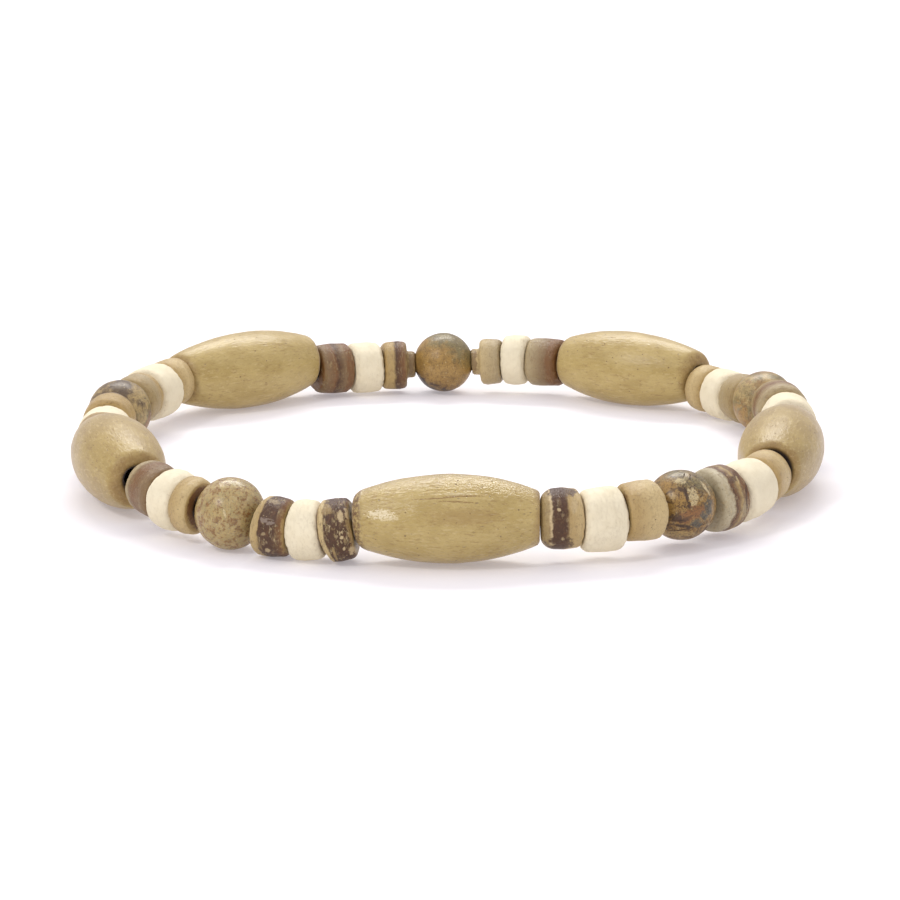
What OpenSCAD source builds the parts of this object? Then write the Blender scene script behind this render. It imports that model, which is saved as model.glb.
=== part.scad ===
// Stretch bracelet: forty drilled beads on one elastic thread, lying on a flat surface at z = 0.
// Five sections of eight beads follow each other round the ring. Each section is a wooden olive, a coconut
// disc, a cream disc, a coconut disc, a round stone, a coconut disc, a cream disc and a coconut disc.
// Beads are counted anticlockwise as seen from above, and the first olive lies at the front, towards -y.
// Lengths are in millimetres and angles in degrees.

/* [Wooden olives] */
// Length of an olive along its bore
olive_length = 15; // [13:0.1:16.5]
// Width of an olive at its middle
olive_width = 7.6; // [7:0.1:8.6]
// Radius of the long curve of an olive's side, as a multiple of its width
olive_bow = 2.65; // [2.6:0.05:3.2]
// Radius of the rounded rim at each end of an olive
olive_rim = 0.4; // [0.3:0.1:0.6]
// Diameter of the bore through an olive
olive_bore = 2; // [1.6:0.1:2.2]

/* [Round stones] */
// Diameter of a stone
stone_width = 6; // [5:0.1:7]
// Diameter of the bore through a stone
stone_bore = 1.4; // [1.3:0.1:1.8]

/* [Coconut discs] */
// Length of a coconut disc along its bore
coco_length = 2.8; // [2.6:0.1:4]
// Width of a coconut disc
coco_width = 5; // [4.5:0.1:5.5]
// Radius of the rounded rim of a coconut disc
coco_rim = 0.6; // [0.3:0.05:0.7]
// Diameter of the bore through a coconut disc
coco_bore = 1.8; // [1.6:0.1:2]
// Width of the step that two of the discs turn towards their stone
nose_width = 2.8; // [2.6:0.1:3.2]
// Length of that step
nose_length = 0.6; // [0.3:0.1:0.8]

/* [Cream discs] */
// Length of a cream disc along its bore
cream_length = 3; // [2.8:0.1:4]
// Width of a cream disc
cream_width = 5.3; // [4.8:0.1:5.8]
// Radius of the rounded rim of a cream disc
cream_rim = 0.8; // [0.4:0.05:0.9]
// Diameter of the bore through a cream disc
cream_bore = 1.8; // [1.6:0.1:2]

/* [Thread] */
// Diameter of the elastic thread
thread_width = 0.8; // [0.5:0.1:0.8]
// Length at each end of a bore within which the thread may leave the bore's axis
thread_lead = 0.4; // [0.3:0.05:0.6]
// Number of sides of the thread
thread_sides = 8; // [6:1:12]

/* [Ring] */
// Free space between one bead and the next where they come closest
bead_gap = 0.12; // [0.1:0.01:0.4]
// How far the short beads share out the turns of the ring between them
turn_sharing = 2; // [0:1:4]
// Direction in which the first olive lies, seen from the middle of the ring
first_turn = -90; // [-180:1:180]
// How far the ring swells outwards at each of two opposite lobes
oval_swell = 0.3; // [0:0.1:1]
// Direction of the first of these two lobes
oval_turn = 93; // [0:1:180]
// How far the ring swells outwards at each of three lobes
three_swell = 0.4; // [0:0.1:0.6]
// Direction of the first of these three lobes
three_turn = 31; // [0:1:120]
// How far the ring swells outwards at each of four lobes
four_swell = 0.7; // [0:0.1:0.8]
// Direction of the first of these four lobes
four_turn = 42; // [0:1:90]

/* [Hidden] */
$fn = 64;
long_curve_fn = 256;
settling_rounds = 8;
bore_overrun = 1;

// Kinds of bead, each with its length, width, rim radius and the two ends of its colour range
OLIVE = 0;
STONE = 1;
COCO = 2;
CREAM = 3;
LENGTH = 0;
WIDTH = 1;
RIM = 2;
PALE = 3;
DARK = 4;
kinds = [
    [olive_length, olive_width, olive_rim, [0.80, 0.73, 0.52], [0.66, 0.57, 0.36]],
    [stone_width, stone_width, stone_width / 2, [0.72, 0.60, 0.40], [0.42, 0.30, 0.18]],
    [coco_length, coco_width, coco_rim, [0.78, 0.69, 0.50], [0.34, 0.24, 0.20]],
    [cream_length, cream_width, cream_rim, [0.97, 0.93, 0.82], [0.88, 0.82, 0.68]],
];

// The beads in their order round the ring. longer and wider are added to the kind's own length and width,
// lift is the free height under the bead, out is how far it sits outside its neighbours' line, lean is how
// many degrees it tips its onward end up, shade runs from the pale to the dark end of the kind's colours, and
// nose is 1 or -1 for a step on the end that faces onwards or back.
KIND = 0;
LONGER = 1;
WIDER = 2;
LIFT = 3;
OUT = 4;
LEAN = 5;
SHADE = 6;
NOSE = 7;
beads = [
    [OLIVE, 0, -0.1, 0, 0, 0, 0.4, 0],
    [COCO, 0.1, 0, 1.3, -0.1, 0, 0.6, 0],
    [CREAM, 0.1, 0, 0.8, 0, 0, 0.1, 0],
    [COCO, 0.1, 0, 1.4, 0.3, 0, 0.1, 0],
    [STONE, 0, 0, 0.6, -0.2, 0, 0.3, 0],
    [COCO, -0.2, 0.5, 0.6, -0.3, 0, 0.4, 0],
    [CREAM, 1.1, -0.1, 0.8, 0.1, 0, 0, 0],
    [COCO, 0.1, -0.3, 1.4, 0, 0, 0.1, 0],
    [OLIVE, 0, 0, 0, 0, 0, 0.5, 0],
    [COCO, 0.1, -0.2, 0.8, -0.2, 0, 0.7, 0],
    [CREAM, 0.1, -0.1, 1, 0.2, 0, 0.2, 0],
    [COCO, 0.2, 0.2, 1.4, 0, 0, 0.3, 0],
    [STONE, 0, 0, 0.5, 0, 0, 0.5, 0],
    [COCO, -0.1, 0, 0.3, 0, 0, 0.2, 0],
    [CREAM, -0.1, -0.2, 0.1, 0, 0, 0.1, 0],
    [COCO, -0.7, -0.2, 0.3, 0, 0, 0.2, 0],
    [OLIVE, -0.6, -0.2, 0, 0, 0, 0.5, 0],
    [COCO, 0.3, 0, 0.9, 0, 0, 0.6, 0],
    [CREAM, -0.7, 0, 0.9, 0, 0, 0.1, 0],
    [COCO, -0.2, -0.1, 0.8, 0, 0, 0.3, 1],
    [STONE, 0, 0, 0.2, 0, 0, 0.6, 0],
    [COCO, 0, 0, 0.4, 0, 0, 0.7, -1],
    [CREAM, -0.1, 0, 0.1, 0, 0, 0.1, 0],
    [COCO, 0.5, 0, 0.3, 0, 0, 0.9, 0],
    [OLIVE, 0.1, 0, 0, 0.2, 0, 0.6, 0],
    [COCO, -0.5, -0.1, 1.4, 0, 0, 0.2, 0],
    [CREAM, 0.3, 0.2, 0.8, -0.1, 0, 0.2, 0],
    [COCO, 0.3, 0, 1.1, 0, 0, 0.3, 0],
    [STONE, 0, 0, 0.5, 0.1, 0, 0.7, 0],
    [COCO, 0.1, -0.1, 1.4, 0, 0, 0.2, 0],
    [CREAM, 0.2, 0, 0.5, 0, 0, 0, 0],
    [COCO, 0.2, -0.1, 1.1, 0, 0, 0.5, 0],
    [OLIVE, 0.1, 0.1, 0, 0.3, 0, 0.6, 0],
    [COCO, 0.2, -0.1, 1, -0.2, 0, 0.8, 0],
    [CREAM, -0.6, 0.2, 0.4, -0.1, 0, 0.1, 0],
    [COCO, -1.1, 0.1, 0.6, 0, 0, 0.2, 0],
    [STONE, 0, 0, 0, 0, 0, 0.2, 0],
    [COCO, -0.2, 0.1, 0, 0.1, 0, 0.9, 0],
    [CREAM, -0.7, -0.2, 0, 0.1, 2, 0.1, 0],
    [COCO, -0.3, 0, 0.2, -0.1, 7, 0.9, 0],
];
count = len(beads);
order = [for (n = [0 : count - 1]) n];

function next(n) = (n + 1) % count;
function before(n) = (n + count - 1) % count;
function unit(v) = v / norm(v);
function total(list) = list * [for (v = list) 1];
function kind(n) = kinds[beads[n][KIND]];
function bead_length(n) = kind(n)[LENGTH] + beads[n][LONGER];
function bead_width(n) = kind(n)[WIDTH] + beads[n][WIDER];
function bead_colour(n) = kind(n)[PALE] + (kind(n)[DARK] - kind(n)[PALE]) * beads[n][SHADE];

// A bead's rim is an arc, and its centre runs round the bore at this radius
function rim(n) = kind(n)[RIM] + (beads[n][KIND] == STONE ? beads[n][WIDER] / 2 : 0);
function olive_rim_centre(length, width) =
    let (bow = olive_bow * width, along = length / 2 - olive_rim)
    sqrt((bow - olive_rim) ^ 2 - along ^ 2) - (bow - width / 2);
function rim_centre(n) =
    beads[n][KIND] == OLIVE ? olive_rim_centre(bead_length(n), bead_width(n)) : bead_width(n) / 2 - rim(n);

// How far a bead whose bore lies along way reaches from its own centre in the direction to
function half_reach(n, way, to) =
    let (along = abs(way * to), across = sqrt(max(0, 1 - along ^ 2)), bow = olive_bow * bead_width(n))
    beads[n][KIND] == OLIVE && (bow - olive_rim) * along < bead_length(n) / 2 - olive_rim
        ? bow - (bow - bead_width(n) / 2) * across
        : (bead_length(n) / 2 - rim(n)) * along + rim_centre(n) * across + rim(n);

// The joints lie between the beads, joint n just before bead n, on a ring that is slightly out of round
function rough_height(n) = bead_width(n) / 2 + beads[n][LIFT];
function joint_height(n) = (rough_height(before(n)) + rough_height(n)) / 2;
function ring_radius(radius, a) =
    radius + oval_swell * cos(2 * (a - oval_turn)) + three_swell * cos(3 * (a - three_turn))
    + four_swell * cos(4 * (a - four_turn));
function step(radius, a, chord, turn, passes = 3) =
    passes == 0 ? turn
    : let (here = ring_radius(radius, a), there = ring_radius(radius, a + turn),
           better = 2 * asin(sqrt((chord ^ 2 - (there - here) ^ 2) / (4 * here * there))))
      step(radius, a, chord, better, passes - 1);
function walk(radius, chords, angles, n = 0) =
    n == count ? angles
    : let (a = angles[n])
      walk(radius, chords, concat(angles, a + step(radius, a, chords[n], 360 / count)), n + 1);
function joint_angles(radius, chords) = walk(radius, chords, [first_turn - asin(chords[0] / 2 / radius)]);

// The radius at which the row of beads closes on itself
function closed_radius(chords, radius, passes = 6) =
    passes == 0 ? radius
    : let (angles = joint_angles(radius, chords))
      closed_radius(chords, radius * (angles[count] - angles[0]) / 360, passes - 1);

// The way along each bead. An olive lies flat on its belly. The short beads share the turns out between
// them, as a stretched thread makes them do.
function chord_way(joints, n) =
    let (d = joints[next(n)] - joints[n])
    unit(beads[n][KIND] == OLIVE ? [d.x, d.y, 0] : d);
function eased(way, passes) =
    passes == 0 ? way
    : eased([for (n = order) beads[n][KIND] == OLIVE ? way[n] : unit(way[before(n)] + way[n] + way[next(n)])],
            passes - 1);
function tipped(d, lean) =
    let (flat = norm([d.x, d.y]), rise = asin(d.z) + lean)
    [d.x / flat * cos(rise), d.y / flat * cos(rise), sin(rise)];

// Lays the ring out for a list of the free spaces before and after each bead
JOINTS = 0;
WAYS = 1;
CENTRES = 2;
function laid_out(spaces) =
    let (spans = [for (n = order) bead_length(n) + spaces[n][0] + spaces[n][1]],
         chords = [for (n = order) sqrt(spans[n] ^ 2 - (joint_height(next(n)) - joint_height(n)) ^ 2)],
         radius = closed_radius(chords, total(chords) / 2 / PI),
         angles = joint_angles(radius, chords),
         joints = [for (n = order) let (r = ring_radius(radius, angles[n]))
             [r * cos(angles[n]), r * sin(angles[n]), joint_height(n)]],
         shared = eased([for (n = order) chord_way(joints, n)], turn_sharing),
         way = [for (n = order) tipped(shared[n], beads[n][LEAN])],
         centres = [for (n = order)
             let (share = (spaces[n][0] + bead_length(n) / 2) / spans[n],
                  middle = joints[n] * (1 - share) + joints[next(n)] * share,
                  outwards = unit([middle.x, middle.y, 0]))
             [middle.x, middle.y, beads[n][LIFT] + half_reach(n, way[n], [0, 0, -1])]
             + beads[n][OUT] * outwards])
    [joints, way, centres];

// At a joint each bead keeps half the gap to the plane that halves the turn. The spaces take a few rounds
// to settle, because a longer row also makes a wider ring.
function joint_plane(ring, n) = unit(ring[WAYS][before(n)] + ring[WAYS][n]);
function wanted(ring, n, plane, joint) =
    half_reach(n, ring[WAYS][n], plane) + bead_gap / 2 - abs((ring[CENTRES][n] - joint) * plane);
function mended(spaces) =
    let (ring = laid_out(spaces))
    [for (n = order) [
        spaces[n][0] + wanted(ring, n, joint_plane(ring, n), ring[JOINTS][n]),
        spaces[n][1] + wanted(ring, n, joint_plane(ring, next(n)), ring[JOINTS][next(n)]),
    ]];
function settled(spaces, rounds) = rounds == 0 ? spaces : settled(mended(spaces), rounds - 1);
ring = laid_out(settled([for (n = order) [bead_gap, bead_gap]], settling_rounds));
way = ring[WAYS];

// The ring is centred on its outer sides
function side_of_ring(to) = max([for (n = order) ring[CENTRES][n] * to + half_reach(n, way[n], to)]);
shift = [
    (side_of_ring([-1, 0, 0]) - side_of_ring([1, 0, 0])) / 2,
    (side_of_ring([0, -1, 0]) - side_of_ring([0, 1, 0])) / 2,
    0,
];
centre = [for (c = ring[CENTRES]) c + shift];

// Names: each kind is counted on its own
kind_names = ["olive", "stone", "coco_disc", "cream_disc"];
function number_in_kind(n) = len([for (m = [0 : n]) if (beads[m][KIND] == beads[n][KIND]) m]);
bead_names = [for (n = order) str(kind_names[beads[n][KIND]], "_", number_in_kind(n))];

// Half outline of an olive, with its bore along y: one long curve and a small round rim at each end
module olive_outline(length, width) {
    bow = olive_bow * width;
    rim_y = length / 2 - olive_rim;
    rim_x = olive_rim_centre(length, width);
    meet_y = rim_y * bow / (bow - olive_rim);
    intersection() {
        translate([width / 2 - bow, 0]) circle(r = bow, $fn = long_curve_fn);
        translate([0, -meet_y]) square([width, 2 * meet_y]);
    }
    translate([0, -length / 2]) square([rim_x, length]);
    for (end = [-1, 1])
        translate([rim_x, end * rim_y]) circle(r = olive_rim);
}

// Half outline of a disc, with its bore along y and a round rim
module disc_outline(length, width, rim) {
    translate([0, -length / 2]) square([width / 2 - rim, length]);
    translate([0, rim - length / 2]) square([width / 2, length - 2 * rim]);
    for (end = [-1, 1])
        translate([width / 2 - rim, end * (length / 2 - rim)]) circle(r = rim);
}

module drilled(length, bore) {
    difference() {
        children();
        cylinder(h = length + 2 * bore_overrun, d = bore, center = true);
    }
}

module olive(length, width) {
    drilled(length, olive_bore)
        rotate_extrude() olive_outline(length, width);
}

module stone(width) {
    drilled(width, stone_bore)
        sphere(d = width);
}

// A step takes its length from the disc's own, so the stone stays where it is
module coco_disc(length, width, nose) {
    body = length - abs(nose) * nose_length;
    drilled(length, coco_bore) {
        translate([0, 0, -nose * nose_length / 2])
            rotate_extrude() disc_outline(body, width, coco_rim);
        if (nose != 0)
            cylinder(h = length, d = nose_width, center = true);
    }
}

module cream_disc(length, width) {
    drilled(length, cream_bore)
        rotate_extrude() disc_outline(length, width, cream_rim);
}

module bead(n) {
    heading = atan2(way[n].y, way[n].x);
    lean = asin(way[n].z);
    color(bead_colour(n))
        translate(centre[n])
            rotate([0, 90 - lean, heading])
                if (beads[n][KIND] == OLIVE)
                    olive(bead_length(n), bead_width(n));
                else if (beads[n][KIND] == STONE)
                    stone(bead_width(n));
                else if (beads[n][KIND] == COCO)
                    coco_disc(bead_length(n), bead_width(n), beads[n][NOSE]);
                else
                    cream_disc(bead_length(n), bead_width(n));
}

// The thread runs along the axis inside each bore and straight from one bead into the next
thread_path = [for (n = order) for (end = [-1, 1])
    centre[n] + end * (bead_length(n) / 2 - thread_lead) * way[n]];

module elastic_thread() {
    stops = len(thread_path);
    function ring_at(i) =
        let (d = unit(thread_path[(i + 1) % stops] - thread_path[(i + stops - 1) % stops]),
             sideways = unit(cross(d, [0, 0, 1])), upwards = cross(sideways, d))
        [for (k = [0 : thread_sides - 1])
            let (a = 360 * (k + 0.5) / thread_sides)
            thread_path[i] + thread_width / 2 * (cos(a) * sideways + sin(a) * upwards)];
    points = [for (i = [0 : stops - 1]) each ring_at(i)];
    faces = [for (i = [0 : stops - 1]) for (k = [0 : thread_sides - 1])
        let (j = (i + 1) % stops, m = (k + 1) % thread_sides)
        [i * thread_sides + k, i * thread_sides + m, j * thread_sides + m, j * thread_sides + k]];
    color([0.24, 0.17, 0.13])
        polyhedron(points = points, faces = faces, convexity = 4);
}

for (n = order)
    bead(n);
elastic_thread();
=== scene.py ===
import math
from types import SimpleNamespace

import bpy
import numpy as np
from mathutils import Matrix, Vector


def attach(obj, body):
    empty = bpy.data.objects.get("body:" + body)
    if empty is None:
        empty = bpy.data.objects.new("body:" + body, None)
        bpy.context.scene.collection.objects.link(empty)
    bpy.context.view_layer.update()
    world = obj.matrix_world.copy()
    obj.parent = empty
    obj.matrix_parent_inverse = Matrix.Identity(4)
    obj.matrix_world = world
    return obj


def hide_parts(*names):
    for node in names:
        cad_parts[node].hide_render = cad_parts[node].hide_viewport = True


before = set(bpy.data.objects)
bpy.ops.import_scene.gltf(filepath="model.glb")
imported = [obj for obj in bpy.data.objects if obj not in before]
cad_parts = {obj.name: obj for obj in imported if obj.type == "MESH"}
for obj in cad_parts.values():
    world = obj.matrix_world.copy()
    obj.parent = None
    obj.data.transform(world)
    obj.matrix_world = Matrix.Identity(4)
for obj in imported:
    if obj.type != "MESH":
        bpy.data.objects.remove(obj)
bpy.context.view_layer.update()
MM = 0.001


# Camera. It stands 30 cm in front of the bracelet and looks 14 degrees down at it through a
# long lens, from a hair to the left of the first olive's own middle.
CAMERA_AWAY = 303.87 * MM
CAMERA_RISE = math.radians(13.883)
CAMERA_TURN = math.radians(0.271)
CAMERA_LENS = 131.5
CAMERA_SENSOR = 36
CAMERA_NEAR = 0.01
CAMERA_FAR = 20
LOOKED_AT = Vector((0.116, 0, 1.945)) * MM

camera = bpy.data.objects.new("camera", bpy.data.cameras.new("camera"))
camera.data.lens = CAMERA_LENS
camera.data.sensor_width = CAMERA_SENSOR
camera.data.dof.use_dof = False
camera.data.clip_start = CAMERA_NEAR
camera.data.clip_end = CAMERA_FAR
towards_camera = Vector((
    -math.sin(CAMERA_TURN) * math.cos(CAMERA_RISE),
    -math.cos(CAMERA_TURN) * math.cos(CAMERA_RISE),
    math.sin(CAMERA_RISE),
))
camera.location = LOOKED_AT + towards_camera * CAMERA_AWAY
camera.rotation_euler = towards_camera.to_track_quat("Z", "Y").to_euler()
bpy.context.scene.collection.objects.link(camera)
bpy.context.scene.camera = camera

# The ways that point right, up and out of the picture. Marks on single beads are placed by them.
PICTURE = np.array(camera.rotation_euler.to_matrix()).T


# Olives. Five spindle-shaped beads of pale wood, turned, drilled along their grain and dipped in a
# satin varnish. The grain is open at both sawn ends, where the varnish has sunk in. Sizes are in
# millimetres here and below, but the radius of the bowed side is in widths of the bead.
OLIVE_BOW = 2.6
OLIVE_RIM = 1.15
OLIVE_SHARP_RIM = 0.45
OLIVE_MOUTH = 1.1
OLIVE_WIDE_MOUTH = 1.4
OLIVE_WORN_MOUTH = 2.05
OLIVE_MOUTH_DEPTH = 0.8
OLIVE_DISH = 0.03
OLIVE_LIFT = 0.24
OLIVE_RELIEF = 0.03
OLIVE_DEEP_RELIEF = 0.06
OLIVE_BORE_SHADE = 0.35
OLIVE_ROUGH_FROM = 1.0
OLIVE_ROUGH_TO = 0.5
OLIVE_STEP = 0.14
OLIVE_AROUND = 144
OLIVE_WEAR = {"Swell": 0.035, "Swell_Size": 2.6, "Pit": 0.02, "Pit_Size": 0.5,
              "Chip": 0.05, "Chip_Size": 0.45}


def tint(red, green, blue):
    """A screen colour, 0 to 255, as the linear colour that a shader takes."""
    parts = [c / 255 for c in (red, green, blue)]
    linear = [p / 12.92 if p <= 0.04045 else ((p + 0.055) / 1.055) ** 2.4 for p in parts]
    return (*linear, 1)


STRAW = tint(186, 163, 101)
KHAKI = tint(171, 147, 84)
DEEP_KHAKI = tint(156, 131, 72)
PALE_STRAW = tint(200, 179, 126)
BARK = tint(138, 108, 60)
OLIVE_PORE = tint(96, 62, 32)
# Painted highlight: pale patches laid where the lamps glint on the front olive.
PAINTED_HIGHLIGHT = tint(228, 213, 174)
OLIVE_END = tint(140, 106, 62)
# Painted shade: near-black laid into the mouths of the olives' bores.
PAINTED_BORE_SHADE = tint(34, 20, 14)
OLIVE_SHEEN = (1, 0.93, 0.95, 1)

# A face of the solid that is smaller than this has no direction of its own.
SLIVER = 1e-9


def seat(node):
    """Where a bead sits on the string and how big it is, in millimetres, read from its CAD solid.
    The wall of the bore is the one part that faces its own axis, so it gives the axis."""
    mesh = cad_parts[node].data
    points = np.zeros(len(mesh.vertices) * 3)
    mesh.vertices.foreach_get("co", points)
    points = points.reshape(-1, 3) / MM
    corners = np.zeros(len(mesh.polygons) * 3, int)
    mesh.polygons.foreach_get("vertices", corners)
    corners = corners.reshape(-1, 3)
    a, b, c = points[corners].transpose(1, 0, 2)
    facing = np.cross(b - a, c - a) / 2
    area = np.linalg.norm(facing, axis=1)
    rough_middle = (points.min(0) + points.max(0)) / 2
    bored = ((facing * ((a + b + c) / 3 - rough_middle)).sum(1) < 0) & (area > SLIVER)
    normal = facing[bored] / area[bored, None]
    spread = (normal * area[bored, None]).T @ normal
    # The wall's normals all stand square to the axis, so it is the way in which they spread least.
    along = np.linalg.eigh(spread)[1][:, 0]
    if along @ (-rough_middle[1], rough_middle[0], 0) < 0:
        along = -along
    up = np.array([0, 0, 1]) - along[2] * along
    up /= np.linalg.norm(up)
    middle = ((a + b + c)[bored] / 3 * area[bored, None]).sum(0) / area[bored].sum()
    reach = (points - middle) @ along
    middle = middle + along * (reach.max() + reach.min()) / 2
    out = np.sqrt(np.maximum(((points - middle) ** 2).sum(1) - ((points - middle) @ along) ** 2, 0))
    return SimpleNamespace(
        node=node,
        middle=middle,
        turn=np.array([along, up, np.cross(along, up)]),
        half=(reach.max() - reach.min()) / 2,
        radius=out.max(),
        bore=out[corners[bored]].max(),
        halfway={},
    )


# Each bead also knows the plane halfway to its neighbour at either end.
strand = sorted((seat(node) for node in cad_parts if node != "elastic_thread"),
                key=lambda place: math.atan2(place.middle[1], place.middle[0]))
for one, other in zip(strand, strand[1:] + strand[:1]):
    facing = one.turn[0] + other.turn[0]
    meeting = (one.middle + one.half * one.turn[0] + other.middle - other.half * other.turn[0]) / 2
    for place, end in ((one, 1), (other, -1)):
        place.halfway[end] = (place.turn @ facing, place.turn @ (meeting - place.middle))
seats = {place.node: place for place in strand}

# Neighbours stay TOUCH apart. A bead widens from its bore outwards over GIRTH_EASE, its oval is
# turned by OVAL_TURN radians, and an end that leans is ground off by LEAN_CUT times its slope.
TOUCH = 0.03
GIRTH_EASE = 1.0
OVAL_TURN = 0.6
LEAN_CUT = 1.6


def fitted(spots, place, snug=None, lean=0.0, girth=1.0, taper=0.0, oval=0.0, lift=(0, 0)):
    """Grinds a turned bead to the shape of a worn one. On a tight string an end wears to fit its
    neighbour: 'snug' says for the first and the last end how far, 1 for the plane halfway to it and
    2 for all the way. The end that looks forward does it all. A bead may also lean, be thicker,
    tapered or oval, and carry its first and last end higher by 'lift'."""
    snug = snug or ((2, 0) if place.middle[0] > 0 else (0, 2))
    shaped = spots.copy()
    along = spots[:, 0] / place.half
    angle = np.arctan2(spots[:, 2], spots[:, 1])
    outer = np.clip((np.hypot(spots[:, 1], spots[:, 2]) - place.bore) / GIRTH_EASE, 0, 1)
    tapered = 1 - abs(taper) * (0.5 + np.sign(taper) * along / 2)
    flattened = 1 - oval * np.sin(angle + OVAL_TURN) ** 2
    width = girth * tapered * flattened
    shaped[:, 1:] *= (1 + (width - 1) * outer)[:, None]
    for end, share in ((-1, snug[0]), (1, snug[1])):
        normal, point = place.halfway[end]
        plane = (normal @ point - shaped[:, 1:] @ normal[1:]) / normal[0]
        ground = np.maximum(0, -LEAN_CUT * end * lean * shaped[:, 1])
        stretch = share * (end * plane - TOUCH / 2 - place.half) - ground
        shaped[:, 0] += end * stretch * np.clip(end * along, 0, 1)
    shaped[:, 1] += np.interp(along, (-1, 1), lift)
    return shaped


# How fine a bowed side and a round rim are drawn, before the whole line is divided evenly.
SIDE_STEP = 0.2
RIM_STEP = 0.05


def arc(middle, radius, start, end, step):
    """Points on part of a circle, as (along the bore, from the axis), four or more of them. The
    angles are in degrees, and 0 points away from the axis."""
    count = max(4, round(radius * math.radians(end - start) / step))
    turns = np.radians(np.linspace(start, end, count))
    return [(middle[0] + radius * math.sin(t), middle[1] + radius * math.cos(t)) for t in turns]


def evenly(points, step):
    """The same line with its points a step apart."""
    points = np.array(points)
    gone = np.concatenate([[0], np.cumsum(np.linalg.norm(np.diff(points, axis=0), axis=1))])
    stops = np.linspace(0, gone[-1], max(2, round(gone[-1] / step)) + 1)
    return np.column_stack([np.interp(stops, gone, points[:, k]) for k in (0, 1)])


def section(last_end, first_end, step):
    """The closed half section of a bead from two lines that each run from the side's middle round
    an end into the bore. The first end is given as if it were the last one."""
    last = evenly(last_end, step)
    first = evenly(first_end, step) * (-1, 1)
    return np.concatenate([last, first[::-1][1:-1]])


# Points within FLAT of an end make up its flat. Wear of the side grows over SIDE_FADE from the
# edge of that flat. Chips start CHIPS_IN inside the edge, grow over CHIPS_FADE and reach
# CHIPS_DOWN along the side.
FLAT = 0.01
SIDE_FADE = 0.15
CHIPS_IN = 0.3
CHIPS_FADE = 0.4
CHIPS_DOWN = 0.8


def turned(name, place, loop, around, **worn_to):
    """A bead turned from its half section. Each point keeps its place along the bore, upwards and
    outwards from the ring as the attribute 'place', in millimetres, for the patterns to follow.
    The attributes 'side' and 'rim' say where it may wear: the ends stay flat, so beads meet."""
    angle = np.arange(around) * 2 * math.pi / around
    spots = np.stack([
        np.repeat(loop[None, :, 0], around, 0),
        np.cos(angle)[:, None] * loop[None, :, 1],
        np.sin(angle)[:, None] * loop[None, :, 1],
    ], -1).reshape(-1, 3)
    shaped = place.middle + fitted(spots, place, **worn_to) @ place.turn
    count = len(loop)
    i, j = np.meshgrid(np.arange(around), np.arange(count), indexing="ij")
    i_on = (i + 1) % around
    j_on = (j + 1) % count
    faces = np.stack([i * count + j, i_on * count + j, i_on * count + j_on, i * count + j_on], -1)
    mesh = bpy.data.meshes.new(name)
    mesh.from_pydata((shaped * MM).tolist(), [], faces.reshape(-1, 4).tolist())
    from_axis = np.hypot(spots[:, 1], spots[:, 2])
    from_end = place.half - np.abs(spots[:, 0])
    flat_edge = from_axis[from_end < from_end.min() + FLAT].max()
    side = np.clip((from_axis - flat_edge) / SIDE_FADE, 0, 1)
    near_end = np.clip(1 - from_end / CHIPS_DOWN, 0, 1)
    near_rim = np.clip((from_axis - flat_edge + CHIPS_IN) / CHIPS_FADE, 0, 1)
    mesh.attributes.new("place", "FLOAT_VECTOR", "POINT").data.foreach_set("vector", spots.ravel())
    mesh.attributes.new("side", "FLOAT", "POINT").data.foreach_set("value", side)
    mesh.attributes.new("rim", "FLOAT", "POINT").data.foreach_set("value", near_end * near_rim)
    bead = bpy.data.objects.new(name, mesh)
    bpy.context.scene.collection.objects.link(bead)
    return bead


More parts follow.
